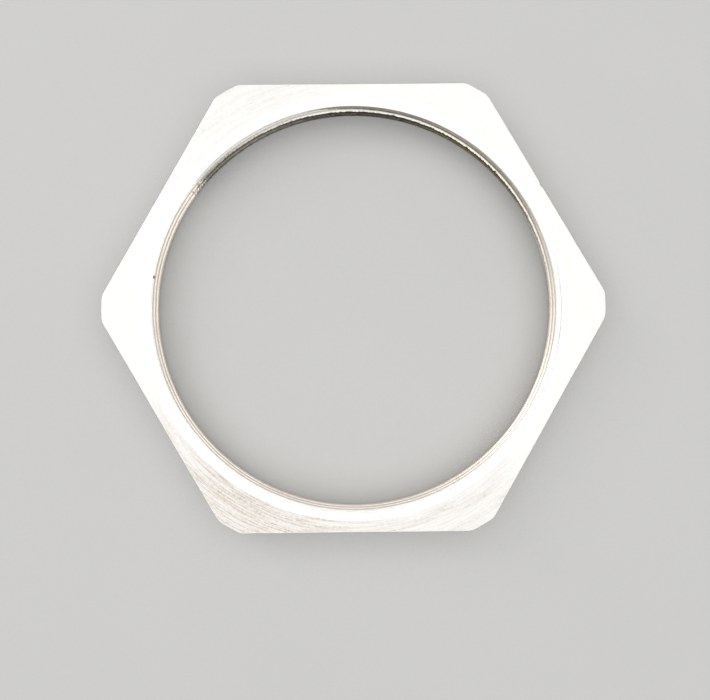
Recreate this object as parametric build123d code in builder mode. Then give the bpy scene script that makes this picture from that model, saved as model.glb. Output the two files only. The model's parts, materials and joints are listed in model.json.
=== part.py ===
from build123d import *
import math
import os

os.makedirs("parts", exist_ok=True)

# Hexagonal lock nut for a large cable gland, one turned piece of plated brass.
# It lies flat: underside on z = 0, thread axis on Z, two corners on X, two flats facing +Y and -Y.

# Body
ACROSS_FLATS = 68.0
CORNER_DIA = 76.4  # outside diameter the six corners are turned down to
THICKNESS = 5.5
CORNER_SOFTENING = 1.0  # radius where a turned corner meets a flat
EDGE_BREAK = 0.15  # deburred outer edges of both faces

# Thread M63 x 1.5, right-hand, basic ISO metric profile
MAJOR_DIA = 63.0
PITCH = 1.5
THREAD_HALF_ANGLE = 30.0
THREAD_DEPTH = PITCH * math.sqrt(3) / 2 * 5 / 8
MINOR_R = MAJOR_DIA / 2 - THREAD_DEPTH
ROOT_FLAT = PITCH / 8
GROOVE_Z = 0.78  # height of a groove's centre on the +X side

# Shallow countersink at both mouths of the bore
MOUTH_DIA = 64.4
MOUTH_SLOPE = 20.0  # from the face
MOUTH_DEPTH = (MOUTH_DIA / 2 - MINOR_R) * math.tan(math.radians(MOUTH_SLOPE))

# The groove is cut one turn at a time, from a pitch below the underside to above the top face
GROOVE_TURNS = math.ceil((THICKNESS + 2 * PITCH) / PITCH)
CUTTER_R = MINOR_R - 0.2  # the cutter's wide end, just inside the bore


def groove_half_width(radius):
    """Half the axial width of the thread groove at a radius."""
    return ROOT_FLAT / 2 + (MAJOR_DIA / 2 - radius) * math.tan(math.radians(THREAD_HALF_ANGLE))


with BuildPart() as lock_nut:
    # hexagon bar with its corners turned to a circle
    with BuildSketch(Plane.XY):
        RegularPolygon(radius=ACROSS_FLATS / 2, side_count=6, major_radius=False)
    extrude(amount=THICKNESS)
    with BuildSketch(Plane.XY):
        Circle(CORNER_DIA / 2)
    extrude(amount=THICKNESS, mode=Mode.INTERSECT)
    fillet(lock_nut.edges().filter_by(Axis.Z), radius=CORNER_SOFTENING)
    edge_rings = lock_nut.edges().group_by(Axis.Z)
    chamfer(edge_rings[0] + edge_rings[-1], length=EDGE_BREAK)

    # bore at the thread's minor diameter, with a countersunk mouth in each face
    with BuildSketch(Plane.XY):
        Circle(MINOR_R)
    extrude(amount=THICKNESS, mode=Mode.SUBTRACT)
    with BuildSketch(Plane.XZ):
        for face_z, inward in ((0, 1), (THICKNESS, -1)):
            Polygon(
                (0, face_z),
                (MOUTH_DIA / 2, face_z),
                (MINOR_R, face_z + inward * MOUTH_DEPTH),
                (0, face_z + inward * MOUTH_DEPTH),
                align=None,
            )
    revolve(axis=Axis.Z, mode=Mode.SUBTRACT)

    # helical thread groove
    for turn in range(GROOVE_TURNS):
        centre_z = GROOVE_Z + (turn - 1) * PITCH
        with BuildLine():
            Helix(pitch=PITCH, height=PITCH, radius=MINOR_R, center=(0, 0, centre_z))
        with BuildSketch(Plane.XZ):
            Polygon(
                (CUTTER_R, centre_z - groove_half_width(CUTTER_R)),
                (MAJOR_DIA / 2, centre_z - groove_half_width(MAJOR_DIA / 2)),
                (MAJOR_DIA / 2, centre_z + groove_half_width(MAJOR_DIA / 2)),
                (CUTTER_R, centre_z + groove_half_width(CUTTER_R)),
                align=None,
            )
        sweep(is_frenet=True, mode=Mode.SUBTRACT)

lock_nut.part.label = "lock_nut"
export_step(lock_nut.part, "parts/lock_nut.step")
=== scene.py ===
"""Looks for the hexagonal lock nut: turned, nickel-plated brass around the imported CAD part."""
import json
import math

import bpy
import numpy as np
from mathutils import Euler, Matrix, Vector


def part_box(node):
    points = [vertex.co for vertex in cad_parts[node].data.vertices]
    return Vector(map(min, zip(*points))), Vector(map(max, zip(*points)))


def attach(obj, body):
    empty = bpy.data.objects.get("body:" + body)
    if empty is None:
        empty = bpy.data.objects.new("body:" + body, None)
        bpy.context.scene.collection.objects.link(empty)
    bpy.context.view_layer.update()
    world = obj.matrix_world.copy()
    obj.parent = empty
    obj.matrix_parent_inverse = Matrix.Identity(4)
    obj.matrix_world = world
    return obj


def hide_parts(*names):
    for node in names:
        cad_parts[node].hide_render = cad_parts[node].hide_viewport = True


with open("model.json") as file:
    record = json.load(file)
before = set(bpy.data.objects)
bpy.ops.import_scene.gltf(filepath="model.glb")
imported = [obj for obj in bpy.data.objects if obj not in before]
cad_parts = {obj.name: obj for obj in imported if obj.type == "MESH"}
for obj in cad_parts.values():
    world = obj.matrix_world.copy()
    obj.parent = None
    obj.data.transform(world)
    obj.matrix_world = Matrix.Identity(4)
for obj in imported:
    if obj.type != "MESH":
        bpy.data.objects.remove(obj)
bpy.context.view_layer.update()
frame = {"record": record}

# ---------------------------------------------------------------- sizes, in mm
MM = 0.001
low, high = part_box("lock_nut")
THICK = (high.z - low.z) / MM
FLAT_R = (high.y - low.y) / MM / 2
CORNER_R = (high.x - low.x) / MM / 2
SOFTENING = 2.5  # where a turned corner meets a flat
EDGE_ROUND = 0.2  # deburred outer edge

gland_thread = next(m for m in frame["record"]["mounts"] if m["name"] == "gland_thread")
MINOR_R = gland_thread["dims"]["r_mm"]
MAJOR_R = 31.5
PITCH = 1.5
THREAD_DEPTH = MAJOR_R - MINOR_R
FLANK_ANGLE = 30
FLANK_TAN = math.tan(math.radians(FLANK_ANGLE))
CREST_ROUND = PITCH / 8 / FLANK_TAN  # radius of a crest that is rounded from flank to flank
GROOVE_Z = 0.78  # a groove's centre height on the +X side
LAND_HEIGHT = GROOVE_Z + 1.5 * PITCH  # the second crest's middle, on the +X side

RIM_DROP = (THICK - gland_thread["dims"]["length_mm"]) / 2
MOUTH_SLOPE = 20  # from the face
MOUTH_TAN = math.tan(math.radians(MOUTH_SLOPE))
MOUTH_R = MINOR_R + RIM_DROP / MOUTH_TAN
MOUTH_LINE_R = 31.8  # a line left by the tool in the countersink

# where a countersink bends over into its face: depths under the face, and radii from MOUTH_R
LIP_FOOT = 0.012
LIP_IN, LIP_DROP = -0.006, 0.005
LIP_OUT = 0.04

# ---------------------------------------------------------------- wear
# azimuths and widths round the nut are in degrees, and heights, depths and radii in mm
TORN_AZIMUTH, TORN_WIDTH, TORN_DEPTH = 206, 34, 0.085  # teeth torn out of the second crest
CHATTER_DEPTH = 0.022  # the same crest, all the way round
LAND_WIDTH = 0.3  # how far these two reach up and down from the crest's middle
FRAY_DEPTH, WAVE_DEPTH = 0.012, 0.008  # every crest
CREST_FADE = 0.05  # how soon the wear of a crest fades with depth in the groove
UNDER_DEPTH = 0.02  # the lower rim
NICK_AZIMUTH, NICK_WIDTH = 170.8, 0.5
NICK_HEIGHT, NICK_SPREAD, NICK_DEPTH = 4.05, 0.16, 0.14
NICK_SPOT_R, NICK_SPOT_HEIGHT = 30.93, 4.08
DINGS = ((32.5, 0.5, 0.15), (211, 0.5, 0.05), (246.5, 0.8, 0.05), (118, 0.6, 0.04))

# ---------------------------------------------------------------- mesh settings
COLUMNS = 864
CONE_ROWS, FACE_ROWS, SIDE_ROWS = 5, 5, 4
RIM_MARGIN = 0.004  # a thread point past a rim, or this near to it in mm, is merged with it
SHARP_ANGLE = 34
FACE, MOUTH, THREAD, FLAT, CORNER = range(5)  # material slots
TAU = 2 * math.pi


# ---------------------------------------------------------------- outline
def softening_angles():
    """Azimuths, from a flat's middle, of the flat's end and of the turned corner's start."""
    x = FLAT_R - SOFTENING
    y = math.sqrt((CORNER_R - SOFTENING) ** 2 - x**2)
    return math.atan2(y, FLAT_R), math.atan2(y, x)


def columns():
    """Azimuths of the mesh's columns: even, with one exactly wherever the outline changes."""
    even = np.arange(COLUMNS) * TAU / COLUMNS
    offsets = (*softening_angles(), math.pi / 6)
    flats = [math.radians(30 + 60 * k) for k in range(6)]
    exact = [flat + sign * offset for flat in flats for offset in offsets for sign in (-1, 1)]
    exact = np.unique(np.mod(exact, TAU).round(9))
    exact = exact[exact < TAU - 1e-6]
    # an even column that would leave a sliver beside an exact one is left out
    clear = np.abs(even[:, None] - exact[None, :]).min(1) > 0.3 * TAU / COLUMNS
    return np.sort(np.concatenate([even[clear], exact]))


PHI = columns()
N = len(PHI)
ALL = np.arange(N)


def outline(inset):
    """Radius of the hexagon with turned, softened corners, moved inwards by inset."""
    flat, turned, soft = FLAT_R - inset, CORNER_R - inset, SOFTENING - inset
    beta = np.radians(np.abs(np.degrees(PHI) % 60 - 30))  # flats face 30, 90, ... degrees
    x = flat - soft
    y = math.sqrt((turned - soft) ** 2 - x**2)
    swing = beta - math.atan2(y, x)
    reach = turned - soft
    chord = np.sqrt(np.maximum(soft**2 - (reach * np.sin(swing)) ** 2, 0))
    softened = reach * np.cos(swing) + chord
    on_flat = beta <= math.atan2(y, flat)
    return np.where(on_flat, flat / np.cos(beta), np.where(swing >= 0, turned, softened))


INSETS = np.linspace(0, 0.5, 11)
OUTLINES = np.array([outline(s) for s in INSETS])


def outline_at(inset):
    """The outline moved inwards by an amount that changes round the ring."""
    place = np.clip(np.broadcast_to(inset, N) / INSETS[1], 0, len(INSETS) - 1.001)
    step = place.astype(int)
    share = place - step
    return OUTLINES[step, ALL] * (1 - share) + OUTLINES[step + 1, ALL] * share


# ---------------------------------------------------------------- unevenness
def wander(bumps, seed):
    """Smooth closed noise round the ring, about -1 to 1, from this many bumps in a turn."""
    local = np.random.default_rng(seed)
    total = np.zeros(N)
    for octave in range(3):
        knots = bumps * 2**octave
        values = local.uniform(-1, 1, knots)
        place = PHI / TAU * knots
        step = place.astype(int) % knots
        share = place - np.floor(place)
        share = share * share * (3 - 2 * share)
        total += (values[step] * (1 - share) + values[(step + 1) % knots] * share) * 0.6**octave
    return total / 1.6


def bell(angle, width):
    """1 at an azimuth, falling to 1/e at width degrees from it."""
    away = (np.degrees(PHI) - angle + 180) % 360 - 180
    return np.exp(-((away / width) ** 2))


def teeth(period, seed):
    """Saw-like tool chatter round the ring, 0 to 1, with uneven teeth."""
    count = round(360 / period)
    local = np.random.default_rng(seed)
    starts = (np.arange(count) + local.uniform(-0.28, 0.28, count)) * 360 / count
    depths = local.uniform(0.25, 1, count)
    starts = np.sort(starts)
    degrees = np.degrees(PHI)
    which = np.searchsorted(starts, degrees) % count
    begin, end = starts[which - 1], starts[which]
    span = np.where(end > begin, end - begin, end - begin + 360)
    share = np.clip(((degrees - begin) % 360) / span, 0, 1)
    return depths[which] * np.where(share < 0.7, share / 0.7, (1 - share) / 0.3)


# ---------------------------------------------------------------- thread
# half of a groove's eased root: distance from its middle, and rise from its full depth
ROOT = ((0, 0), (0.07, 0.002), (0.115, 0.028))


def flank_point(depth):
    """Distance from a groove's centre to its flank, at a height above the crest's radius."""
    return PITCH / 16 + (THREAD_DEPTH - depth) * FLANK_TAN, depth


def crest_point(degrees):
    """A point of the rounded crest, by its angle from the crest's middle."""
    angle = math.radians(degrees)
    return PITCH / 2 - CREST_ROUND * math.sin(angle), CREST_ROUND * (1 - math.cos(angle))


# distance from a groove's centre, and height above the crest's radius, from root to crest
PROFILE = np.array(
    [(across, THREAD_DEPTH - rise) for across, rise in ROOT]
    + [flank_point(depth) for depth in (0.70, 0.52, 0.34)]
    + [crest_point(degrees) for degrees in range(60, -1, -10)]
)
TURN = np.concatenate([PROFILE[:-1, 0], PITCH - PROFILE[:0:-1, 0]])


def thread_radius(level, azimuth):
    """Radius of the threaded wall."""
    place = np.mod(level - GROOVE_Z - PITCH * azimuth / TAU, PITCH)
    place = np.minimum(place, PITCH - place)
    return MINOR_R + np.interp(place, PROFILE[:, 0], PROFILE[:, 1])


def rim(top):
    """Height at each azimuth where a countersink meets the thread."""
    drop = np.linspace(0, RIM_DROP * 1.02, 600)[:, None]
    level = THICK - drop if top else drop
    gap = MOUTH_R - drop / MOUTH_TAN - thread_radius(level, PHI[None, :])
    first = np.argmax(gap <= 0, axis=0)
    before, after = gap[first - 1, ALL], gap[first, ALL]
    share = before / (before - after)
    found = drop[first - 1, 0] * (1 - share) + drop[first, 0] * share
    return THICK - found if top else found


# ---------------------------------------------------------------- rows of points round the section
rows = []


def row(radius, level, zone):
    """Adds a ring of points. zone is the material of the band between it and the next row."""
    radius, level = (np.broadcast_to(value, N).astype(float) for value in (radius, level))
    rows.append((radius, level, zone))


RIM_TOP, RIM_UNDER = rim(True), rim(False)
# points of the rounded outer edge, as shares of its radius: outwards and down
CURVE = [(math.sin(math.radians(a)), 1 - math.cos(math.radians(a))) for a in (18, 36, 54, 72)]

# upper rim, countersink and face
for k in range(CONE_ROWS):
    share = k / CONE_ROWS
    level = RIM_TOP * (1 - share) + (THICK - LIP_FOOT) * share
    row(MOUTH_R - (THICK - level) / MOUTH_TAN, level, MOUTH)
row(MOUTH_R + LIP_IN, THICK - LIP_DROP, FACE)

edge = EDGE_ROUND * (1 + 0.22 * wander(14, 1) + 0.14 * wander(60, 2))
ding = sum(depth * bell(angle, width) for angle, width, depth in DINGS)
face_in = MOUTH_R + LIP_OUT
face_out = outline_at(edge + ding)
for k in range(FACE_ROWS):
    row(face_in + (face_out - face_in) * (k / FACE_ROWS), THICK, FACE)

# outer edge, side and lower edge
row(face_out, THICK, FLAT)
for sine, fall in CURVE:
    row(outline_at(edge * (1 - sine) + ding * (1 - fall)), THICK - edge * fall, FLAT)
under_edge = EDGE_ROUND * (1 + 0.22 * wander(12, 3) + 0.14 * wander(50, 4))
for k in range(SIDE_ROWS + 1):
    share = k / SIDE_ROWS
    row(outline(0), (THICK - edge) * (1 - share) + under_edge * share, FLAT)
for sine, fall in reversed(CURVE):
    row(outline_at(under_edge * (1 - sine)), under_edge * fall, FLAT)

# underside and its countersink
face_out = outline_at(under_edge)
for k in range(FACE_ROWS + 1):
    row(face_in + (face_out - face_in) * (1 - k / FACE_ROWS), 0, FACE)
row(MOUTH_R + LIP_IN, LIP_DROP, MOUTH)
under_torn = UNDER_DEPTH * teeth(2.1, 8)
for k in range(1, CONE_ROWS + 1):
    share = k / CONE_ROWS
    level = LIP_FOOT * (1 - share) + RIM_UNDER * share
    level = level - under_torn * MOUTH_TAN * share**3
    row(MOUTH_R - level / MOUTH_TAN, level, MOUTH)

# the thread's rows climb with the helix and are held between the two rims
lines = np.arange(-2 * len(TURN), (int(THICK / PITCH) + 2) * len(TURN))
turns, steps = np.divmod(lines, len(TURN))
helix_z = GROOVE_Z + PITCH * (turns[:, None] + PHI[None, :] / TAU) + TURN[steps][:, None]
at_top = helix_z > RIM_TOP - RIM_MARGIN
at_under = helix_z < RIM_UNDER + RIM_MARGIN
helix_r = thread_radius(helix_z, PHI[None, :])

# tool chatter has torn small teeth out of the second crest, mostly on the -X side
torn = TORN_DEPTH * teeth(3.3, 5) * np.clip(1.15 * (bell(TORN_AZIMUTH, TORN_WIDTH) ** 2), 0, 1)
torn += CHATTER_DEPTH * teeth(1.35, 6) * (0.6 + 0.4 * wander(9, 7))
on_crest = np.exp(-(helix_r - MINOR_R) / CREST_FADE)
on_second = np.exp(-(((helix_z[:, :1] - LAND_HEIGHT) / LAND_WIDTH) ** 2))
frayed = torn * on_second + FRAY_DEPTH * teeth(1.1, 9) + WAVE_DEPTH * wander(40, 10)
helix_r = helix_r + on_crest * frayed
on_nick = np.exp(-(((helix_z - NICK_HEIGHT) / NICK_SPREAD) ** 2))
helix_r = helix_r + NICK_DEPTH * bell(NICK_AZIMUTH, NICK_WIDTH) * on_nick

# ---------------------------------------------------------------- mesh
ring_count = len(rows)
mesh_r = np.concatenate([np.array([r for r, z, zone in rows]), helix_r])
mesh_z = np.concatenate([np.array([z for r, z, zone in rows]), helix_z])
points = np.stack([mesh_r * np.cos(PHI), mesh_r * np.sin(PHI), mesh_z], -1).reshape(-1, 3) * MM

ring_index = np.arange(ring_count * N).reshape(ring_count, N)
helix_index = ring_count * N + np.arange(len(lines) * N).reshape(len(lines), N)
helix_index = np.where(at_top, ring_index[0][None, :], helix_index)
helix_index = np.where(at_under, ring_index[-1][None, :], helix_index)

faces, zones = [], []


def band(near, far, near_next, far_next, zone):
    """Faces between two rows, given each row's point numbers at every column and at the next."""
    for corners in zip(near.tolist(), far.tolist(), far_next.tolist(), near_next.tolist()):
        corners = list(dict.fromkeys(corners))
        if len(corners) > 2:
            faces.append(corners)
            zones.append(zone)


for k in range(ring_count - 1):
    near, far = ring_index[k], ring_index[k + 1]
    band(near, far, np.roll(near, -1), np.roll(far, -1), rows[k][2])
seam = len(TURN)  # where the ring closes, a row meets the one a turn above it
for k in range(len(lines) - 1 - seam):
    near, far = helix_index[k], helix_index[k + 1]
    near_next = np.append(near[1:], helix_index[k + seam][0])
    far_next = np.append(far[1:], helix_index[k + 1 + seam][0])
    band(near, far, near_next, far_next, THREAD)

used, renumbered = np.unique(np.concatenate([np.array(f) for f in faces]), return_inverse=True)
split = np.cumsum([len(f) for f in faces])[:-1]
mesh = bpy.data.meshes.new("lock_nut_turned")
mesh.from_pydata(points[used].tolist(), [], [f.tolist() for f in np.split(renumbered, split)])
side = np.array([zone == FLAT for zone in zones])
centres = np.zeros(len(mesh.polygons) * 3)
mesh.polygons.foreach_get("center", centres)
centres = centres.reshape(-1, 3)
from_flat = np.abs(np.degrees(np.arctan2(centres[:, 1], centres[:, 0])) % 60 - 30)
on_corner = side & (from_flat > math.degrees(sum(softening_angles()) / 2))
mesh.polygons.foreach_set("material_index", np.where(on_corner, CORNER, zones))
mesh.polygons.foreach_set("use_smooth", np.ones(len(mesh.polygons), bool))
mesh.set_sharp_from_angle(angle=math.radians(SHARP_ANGLE))
mesh.use_auto_texspace = False
mesh.texspace_size = (CORNER_R * MM,) * 3
nut = bpy.data.objects.new("lock_nut_turned", mesh)
bpy.context.scene.collection.objects.link(nut)
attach(nut, "root")
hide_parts("lock_nut")


# ---------------------------------------------------------------- materials
class Nodes:
    """A material's node tree, filled by short calls that each return an output socket."""

    def __init__(self, name):
        self.material = bpy.data.materials.new(name)
        self.material.use_nodes = True
        self.tree = self.material.node_tree
        self.tree.nodes.clear()

    def plug(self, value, socket):
        """Links an output to a socket, or sets the socket to a constant."""
        if isinstance(value, bpy.types.NodeSocket):
            self.tree.links.new(value, socket)
        else:
            socket.default_value = value

    def add(self, kind, inputs, out=0, **settings):
        made = self.tree.nodes.new(kind)
        for key, value in settings.items():
            setattr(made, key, value)
        for key, value in inputs.items():
            self.plug(value, made.inputs[key])
        return made.outputs[out] if made.outputs else None

    def math(self, operation, a, b=0.0, c=0.0):
        return self.add("ShaderNodeMath", {0: a, 1: b, 2: c}, operation=operation)

    def product(self, first, *others):
        for other in others:
            first = self.math("MULTIPLY", first, other)
        return first

    def vector(self, operation, a, b=(0, 0, 0), out=0, **extra):
        return self.add("ShaderNodeVectorMath", {0: a, 1: b, **extra}, out, operation=operation)

    def ramp(self, value, start, end, at_start=0.0, at_end=1.0):
        """A smooth step between two values."""
        inputs = {"From Min": start, "From Max": end, "To Min": at_start, "To Max": at_end}
        inputs["Value"] = value
        return self.add("ShaderNodeMapRange", inputs, interpolation_type="SMOOTHSTEP")

    def noise(self, vector, detail, rough=0.55):
        inputs = {"Vector": vector, "Scale": 1.0, "Detail": detail, "Roughness": rough}
        return self.add("ShaderNodeTexNoise", inputs)

    def mix(self, share, a, b):
        made = self.tree.nodes.new("ShaderNodeMix")
        made.data_type = "RGBA"
        for socket, value in ((0, share), (6, a), (7, b)):
            self.plug(value, made.inputs[socket])
        return made.outputs[2]

    def coordinates(self):
        """Object coordinates in mm: position, distance from the axis, direction from the axis."""
        object_space = self.add("ShaderNodeTexCoord", {}, out="Object")
        position = self.vector("SCALE", object_space, Scale=1000.0)
        flat = self.vector("MULTIPLY", position, (1, 1, 0))
        return position, self.vector("LENGTH", flat, out="Value"), self.vector("NORMALIZE", flat)

    def metal(self, colour, roughness, relief, depth, anisotropy, across):
        """Metal. depth, in metres, is one unit of relief. across turns the brushed highlight."""
        bump = {"Height": relief, "Distance": depth, "Strength": 1.0}
        inputs = {
            "Base Color": colour,
            "Roughness": roughness,
            "Normal": self.add("ShaderNodeBump", bump),
            "Metallic": 1.0,
            "Anisotropic": anisotropy,
            "Anisotropic Rotation": 0.25 if across else 0.0,
            "Tangent": self.add("ShaderNodeTangent", {}, direction_type="RADIAL", axis="Z"),
        }
        shader = self.add("ShaderNodeBsdfPrincipled", inputs)
        self.add("ShaderNodeOutputMaterial", {"Surface": shader})
        return self.material


NICKEL = (0.905, 0.887, 0.857, 1)
FACE_TONE = (0.725, 0.722, 0.706, 1)
MOUTH_TONE = (0.81, 0.80, 0.775, 1)
BEIGE = (0.66, 0.565, 0.495, 1)
CUT_TONE = (0.47, 0.395, 0.335, 1)
LAND_TONE_LIGHTENED = (0.95, 0.88, 0.80, 1)
FLANK_TONE = (0.94, 0.855, 0.765, 1)
# painted shade tones for one side of the bore, standing in for shade and dark reflection
PAINTED_SHADE_TONE = (0.038, 0.035, 0.022, 1)
OLIVE_SHADE_TONE = (0.085, 0.070, 0.022, 1)
NICK_DARK_TONE = (0.16, 0.12, 0.08, 1)
# tone of the face's score lines, and of the painted shade on the countersink's rim
SCORE_AND_SHADE_TONE = (0.30, 0.245, 0.205, 1)
FLOOR_DARK = (0.50, 0.498, 0.49, 1)
FLOOR_PALE = (0.55, 0.547, 0.54, 1)

# depth of each finish's fine relief, in metres
FACE_RELIEF = 0.000012
MOUTH_RELIEF = 0.000006
THREAD_RELIEF = 0.00002
SIDE_RELIEF = 0.000012
FLOOR_RELIEF = 0.00008

# sectors of the nut: middle azimuth, then degrees from it to full strength and to nothing
RIM_SHADE_SECTOR = (114, 20, 34)
OLIVE_SHADE_SECTOR = (42, 12, 32)
RAGGED_SECTOR = (206, 22, 42)
# weights of painted shade on the face's streaks, by sector, most on the -Y side
STREAK_SHADE_SECTORS = {(244, 12, 36): 1.0, (260, 44, 62): 0.55, (122, 10, 36): 0.25}
STREAK_SHADE_ELSEWHERE = 0.10


def rings(nodes, radius, direction, per_mm, per_turn, detail, rough=0.55):
    """Noise drawn out into concentric lines."""
    across = nodes.add("ShaderNodeCombineXYZ", {"Z": nodes.math("MULTIPLY", radius, per_mm)})
    along = nodes.vector("SCALE", direction, Scale=per_turn / TAU)
    return nodes.noise(nodes.vector("ADD", across, along), detail, rough)


def sector(nodes, direction, middle, inner, outer):
    """1 within inner degrees of an azimuth, falling to 0 at outer degrees."""
    towards = (math.cos(math.radians(middle)), math.sin(math.radians(middle)), 0)
    near = nodes.vector("DOT_PRODUCT", direction, towards, out="Value")
    return nodes.ramp(near, math.cos(math.radians(outer)), math.cos(math.radians(inner)))


def face_material():
    nodes = Nodes("turned_face")
    position, radius, direction = nodes.coordinates()
    coarse = rings(nodes, radius, direction, 1.3, 12, 3)
    fine = rings(nodes, radius, direction, 7, 42, 4, 0.6)
    hair = rings(nodes, radius, direction, 9, 80, 3, 0.65)
    patch = nodes.noise(nodes.vector("SCALE", position, Scale=0.12), 2)
    speckle = nodes.noise(nodes.vector("SCALE", position, Scale=2.2), 3, 0.65)
    # painted shade: the real turning streaks are darker where the face reflects less light
    # rough holds this painted-shade weight, which also weights the score lines
    rough = STREAK_SHADE_ELSEWHERE
    for extent, share in STREAK_SHADE_SECTORS.items():
        weighted = nodes.product(sector(nodes, direction, *extent), share)
        rough = nodes.math("MAXIMUM", weighted, rough)
    streak = nodes.product(
        nodes.math("MULTIPLY_ADD", nodes.ramp(fine, 0.42, 0.60), 0.67, 0.33),
        nodes.ramp(coarse, 0.3, 0.55, 0.5, 1.0),
        nodes.ramp(patch, 0.3, 0.6, 0.8, 1.0),
        nodes.ramp(speckle, 0.35, 0.6, 0.6, 1.0),
    )
    colour = nodes.mix(nodes.product(streak, rough), FACE_TONE, CUT_TONE)
    score = nodes.product(nodes.ramp(hair, 0.54, 0.66), nodes.ramp(coarse, 0.42, 0.58, 0.15, 0.8))
    score = nodes.product(score, nodes.product(rough, nodes.ramp(speckle, 0.42, 0.58)))
    colour = nodes.mix(score, colour, SCORE_AND_SHADE_TONE)
    roughness = nodes.math("MULTIPLY_ADD", fine, 0.14, 0.24)
    relief = nodes.math("MULTIPLY_ADD", coarse, 1.6, fine)
    relief = nodes.math("MULTIPLY_ADD", hair, 0.5, relief)
    return nodes.metal(colour, roughness, relief, FACE_RELIEF, 0.4, True)


def mouth_material():
    nodes = Nodes("countersink")
    _, radius, direction = nodes.coordinates()
    fine = rings(nodes, radius, direction, 9, 30, 4)
    coarse = rings(nodes, radius, direction, 2.5, 12, 2)
    from_line = nodes.math("ABSOLUTE", nodes.math("SUBTRACT", radius, MOUTH_LINE_R))
    line = nodes.ramp(from_line, 0.0, 0.07, 1.0, 0.0)
    streak = nodes.product(nodes.ramp(fine, 0.5, 0.75), nodes.ramp(coarse, 0.4, 0.7), 0.3)
    colour = nodes.mix(streak, MOUTH_TONE, BEIGE)
    # painted shade: a grey edge on the countersink's inner rim, beside the bore's painted shade
    rim_shade = nodes.ramp(radius, MINOR_R, MINOR_R + 0.15, 0.5, 0.0)
    rim_shade = nodes.product(rim_shade, sector(nodes, direction, *RIM_SHADE_SECTOR))
    colour = nodes.mix(rim_shade, colour, SCORE_AND_SHADE_TONE)
    roughness = nodes.math("MULTIPLY_ADD", fine, 0.10, 0.24)
    relief = nodes.math("MULTIPLY_ADD", line, -0.6, nodes.math("ADD", fine, coarse))
    return nodes.metal(colour, roughness, relief, MOUTH_RELIEF, 0.35, True)


# ---------------------------------------------------------------- thread material
# In this section azimuths are in radians from +X, -pi to pi. above is the height in mm over the
# second crest's middle, following its helix. The two ends of that turn meet at the -X side.
def drawn_lines(nodes, height, azimuth, radius, direction):
    """Noise drawn out along the helix."""
    turn = nodes.product(azimuth, -1.0)
    climb = nodes.math("MULTIPLY_ADD", height, TAU / PITCH, turn)
    cosine, sine = nodes.math("COSINE", climb), nodes.math("SINE", climb)
    helix = nodes.add("ShaderNodeCombineXYZ", {"X": cosine, "Y": sine})
    place = nodes.vector("SCALE", helix, Scale=5.0)
    place = nodes.vector("ADD", place, nodes.vector("SCALE", direction, Scale=5.5))
    outwards = nodes.add("ShaderNodeCombineXYZ", {"Z": nodes.product(radius, 9.0)})
    return nodes.noise(nodes.vector("ADD", place, outwards), 4)


def between(nodes, value, least, most):
    above_least = nodes.math("GREATER_THAN", value, least)
    return nodes.product(above_least, nodes.math("LESS_THAN", value, most))


def painted_bore_shade(nodes, azimuth, above, grain, chatter):
    """Painted shade on one side of the bore: the shares painted dark and given a painted highlight.

    It is left off the second crest, part of the groove over it, and the first crest's flank.
    """
    # the painted shade covers the bore from +X round to about 140 degrees, to a ragged end
    end = nodes.math("MULTIPLY_ADD", nodes.math("SUBTRACT", grain, 0.5), 0.35, azimuth)
    shade_side = nodes.product(nodes.ramp(azimuth, -0.05, 0.75), nodes.ramp(end, 2.41, 2.53, 1.0, 0.0))
    uneven = nodes.math("MULTIPLY_ADD", nodes.math("SUBTRACT", chatter, 0.5), 0.3, above)
    lit_gap_top = nodes.ramp(azimuth, 1.45, 2.15, 0.12, 0.75)
    first_flank = nodes.ramp(azimuth, 1.7, 2.45, 0.95, 0.2)
    shaded = nodes.product(nodes.ramp(above, 0.24, 0.34), nodes.ramp(azimuth, 1.5, 1.8, 0.0, 0.6))
    # gaps left in the painted shade, on the flanks and crest that catch the light
    lit_gaps = nodes.math(
        "MAXIMUM",
        between(nodes, uneven, -0.24, lit_gap_top),
        nodes.product(between(nodes, uneven, -1.23, -0.9), first_flank),
    )
    lit_gaps = nodes.product(
        lit_gaps,
        nodes.ramp(chatter, 0.3, 0.5, 0.8, 1.0),
        nodes.math("SUBTRACT", 1.0, shaded),
    )
    # the painted shade is lighter on the third crest
    near_third = nodes.math(
        "MAXIMUM",
        nodes.ramp(azimuth, 0.3, 0.9, 0.75, 0.52),
        nodes.ramp(azimuth, 1.3, 2.4, 0.52, 0.62),
    )
    third_crest = nodes.ramp(above, 0.8, 1.1, 0.0, near_third)
    dark = nodes.product(
        shade_side,
        nodes.math("SUBTRACT", 1.0, lit_gaps),
        nodes.ramp(grain, 0.25, 0.65, 0.86, 1.0),
        nodes.ramp(azimuth, 1.65, 2.05, 1.0, 0.87),
        nodes.ramp(above, 0.0, 0.25, 1.0, 0.8),
        nodes.math("SUBTRACT", 1.0, third_crest),
    )
    return dark, nodes.product(shade_side, lit_gaps)


def opened_groove(nodes, azimuth, above, direction):
    """The groove that opens into the countersink was brightened with it, to a ragged edge."""
    ragged = nodes.noise(nodes.vector("SCALE", direction, Scale=17.0), 3, 0.7)
    ragged = nodes.product(nodes.ramp(ragged, 0.45, 0.62), sector(nodes, direction, *RAGGED_SECTOR))
    cut = nodes.ramp(azimuth, 2.50, 2.56, PITCH + 0.13, 0.22)
    cut = nodes.math("MULTIPLY_ADD", ragged, 0.16, cut)
    return nodes.ramp(nodes.math("SUBTRACT", above, cut), -0.03, 0.05)


def nick_dark_spot(nodes, position):
    """The dark spot in the nick."""
    angle = math.radians(NICK_AZIMUTH)
    spot = (NICK_SPOT_R * math.cos(angle), NICK_SPOT_R * math.sin(angle), NICK_SPOT_HEIGHT)
    near = nodes.vector("DISTANCE", position, spot, out="Value")
    return nodes.ramp(near, 0.1, 0.38, 0.92, 0.0)


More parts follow.
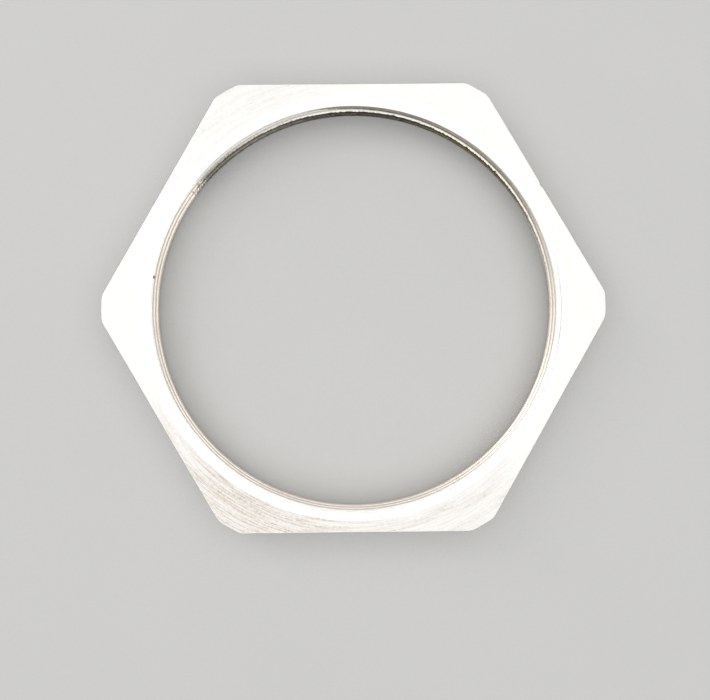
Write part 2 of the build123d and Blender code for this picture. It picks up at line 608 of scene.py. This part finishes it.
def thread_material():
    nodes = Nodes("cut_thread")
    position, radius, direction = nodes.coordinates()
    height = nodes.add("ShaderNodeSeparateXYZ", {"Vector": position}, out="Z")
    x, y = (nodes.add("ShaderNodeSeparateXYZ", {"Vector": direction}, out=axis) for axis in "XY")
    azimuth = nodes.math("ARCTAN2", y, x)
    above = nodes.math("SUBTRACT", height, LAND_HEIGHT)
    above = nodes.math("MULTIPLY_ADD", azimuth, -PITCH / TAU, above)

    drawn = drawn_lines(nodes, height, azimuth, radius, direction)
    grain = nodes.noise(nodes.vector("SCALE", position, Scale=3.2), 3)
    squat = nodes.vector("MULTIPLY", position, (1, 1, 0.25))
    chatter = nodes.noise(nodes.vector("SCALE", squat, Scale=2.3), 2)

    # painted light: the vertical lands get a lighter tone than the flanks, to lift the shade they
    # reflect
    on_flank = nodes.ramp(radius, MINOR_R + 0.02, MINOR_R + 0.12)
    colour = nodes.mix(on_flank, LAND_TONE_LIGHTENED, FLANK_TONE)
    colour = nodes.mix(nodes.ramp(drawn, 0.35, 0.7, 0.0, 0.26), colour, BEIGE)
    # painted shade on one side of the bore, with a painted highlight in its gaps
    dark, bright = painted_bore_shade(nodes, azimuth, above, grain, chatter)
    colour = nodes.mix(bright, colour, NICKEL)
    shade_tone = nodes.mix(sector(nodes, direction, *OLIVE_SHADE_SECTOR), PAINTED_SHADE_TONE, OLIVE_SHADE_TONE)
    colour = nodes.mix(dark, colour, shade_tone)
    colour = nodes.mix(opened_groove(nodes, azimuth, above, direction), colour, NICKEL)
    # a dark spot painted in the nick
    colour = nodes.mix(nick_dark_spot(nodes, position), colour, NICK_DARK_TONE)

    roughness = nodes.ramp(radius, MINOR_R + 0.02, MINOR_R + 0.14, 0.42, 0.24)
    roughness = nodes.math("MULTIPLY_ADD", drawn, 0.18, roughness)
    relief = nodes.math("MULTIPLY_ADD", chatter, 1.5, nodes.math("ADD", drawn, grain))
    return nodes.metal(colour, roughness, relief, THREAD_RELIEF, 0.4, True)


# ---------------------------------------------------------------- side and floor materials
def side_material(turned):
    """Lines run along the thread's axis on the bar's drawn flats, round it on turned corners."""
    nodes = Nodes("turned_corner" if turned else "drawn_flat")
    position = nodes.coordinates()[0]
    stretch = (0.5, 0.5, 12) if turned else (8, 8, 0.25)
    lines = nodes.noise(nodes.vector("MULTIPLY", position, stretch), 4)
    hair = nodes.noise(nodes.vector("MULTIPLY", position, tuple(2.7 * s for s in stretch)), 2)
    grain = nodes.noise(nodes.vector("SCALE", position, Scale=1.4), 4)
    streak = nodes.ramp(lines, 0.42, 0.75, 0.0, 0.6)
    streak = nodes.product(streak, nodes.ramp(grain, 0.3, 0.7, 0.3, 1.0))
    colour = nodes.mix(streak, MOUTH_TONE, BEIGE)
    roughness = nodes.math("MULTIPLY_ADD", grain, 0.10, 0.18)
    roughness = nodes.math("MULTIPLY_ADD", lines, 0.16, roughness)
    relief = nodes.math("MULTIPLY_ADD", grain, 0.5, lines)
    relief = nodes.math("MULTIPLY_ADD", hair, 0.6, relief)
    return nodes.metal(colour, roughness, relief, SIDE_RELIEF, 0.45, turned)


def floor_material():
    nodes = Nodes("studio_floor")
    position = nodes.coordinates()[0]
    cloud = nodes.noise(nodes.vector("SCALE", position, Scale=0.02), 3)
    tooth = nodes.noise(nodes.vector("SCALE", position, Scale=2.5), 4)
    share = nodes.math("MULTIPLY_ADD", cloud, 0.5, nodes.product(tooth, 0.3))
    colour = nodes.mix(share, FLOOR_DARK, FLOOR_PALE)
    bump = {"Height": tooth, "Distance": FLOOR_RELIEF, "Strength": 0.5}
    inputs = {"Base Color": colour, "Roughness": 0.85, "Normal": nodes.add("ShaderNodeBump", bump)}
    shader = nodes.add("ShaderNodeBsdfPrincipled", inputs)
    nodes.add("ShaderNodeOutputMaterial", {"Surface": shader})
    return nodes.material


# in the order of the material slots
mesh.materials.append(face_material())
mesh.materials.append(mouth_material())
mesh.materials.append(thread_material())
mesh.materials.append(side_material(False))
mesh.materials.append(side_material(True))

# ---------------------------------------------------------------- floor, light and camera (metres)
FLOOR_REACH = 1.5
FLOOR_TOP = -0.00002
FLOOR_LINES = 13

ground = bpy.data.meshes.new("studio_floor")
marks = np.linspace(-FLOOR_REACH, FLOOR_REACH, FLOOR_LINES)
corners = [k for k in range(FLOOR_LINES * (FLOOR_LINES - 1)) if k % FLOOR_LINES < FLOOR_LINES - 1]
ground.from_pydata(
    [(x, y, FLOOR_TOP) for y in marks for x in marks],
    [],
    [(k, k + 1, k + FLOOR_LINES + 1, k + FLOOR_LINES) for k in corners],
)
ground.materials.append(floor_material())
studio_floor = bpy.data.objects.new("studio_floor", ground)
bpy.context.scene.collection.objects.link(studio_floor)

world = bpy.data.worlds.new("studio")
world.use_nodes = True
background = world.node_tree.nodes["Background"].inputs
background["Color"].default_value = (0.78, 0.78, 0.77, 1)
background["Strength"].default_value = 0.58
bpy.context.scene.world = world


def softbox(name, place, aim, size, watts, colour=(1, 1, 1)):
    """A square lamp at a place, turned to a point, and hidden from the camera."""
    lamp = bpy.data.lights.new(name, "AREA")
    lamp.shape = "RECTANGLE"
    lamp.size, lamp.size_y, lamp.energy, lamp.color = size, size, watts, colour
    holder = bpy.data.objects.new(name, lamp)
    holder.location = place
    holder.rotation_euler = (Vector(aim) - Vector(place)).to_track_quat("-Z", "Y").to_euler()
    holder.visible_camera = False
    bpy.context.scene.collection.objects.link(holder)


softbox("overhead", (0.0, 0.02, 0.62), (0.0, 0.02, 0), 1.52, 7.4)
softbox("key", (-0.58, 0.42, 0.38), (0, 0, 0), 0.3, 0.9, (1, 0.98, 0.95))

# the photo's view: close, and almost straight down
lens = bpy.data.cameras.new("camera")
lens.sensor_width = 36
lens.lens = 34.33
lens.shift_x, lens.shift_y = 0.0031, -0.0175
lens.clip_start = 0.005
lens.clip_end = 20
camera = bpy.data.objects.new("camera", lens)
camera.location = (-0.00082, -0.00659, 0.10759)
camera.rotation_euler = Euler([math.radians(turn) for turn in (1.082, -0.324, -0.624)])
bpy.context.scene.collection.objects.link(camera)
bpy.context.scene.camera = camera
bpy.context.scene.view_settings.view_transform = "Standard"
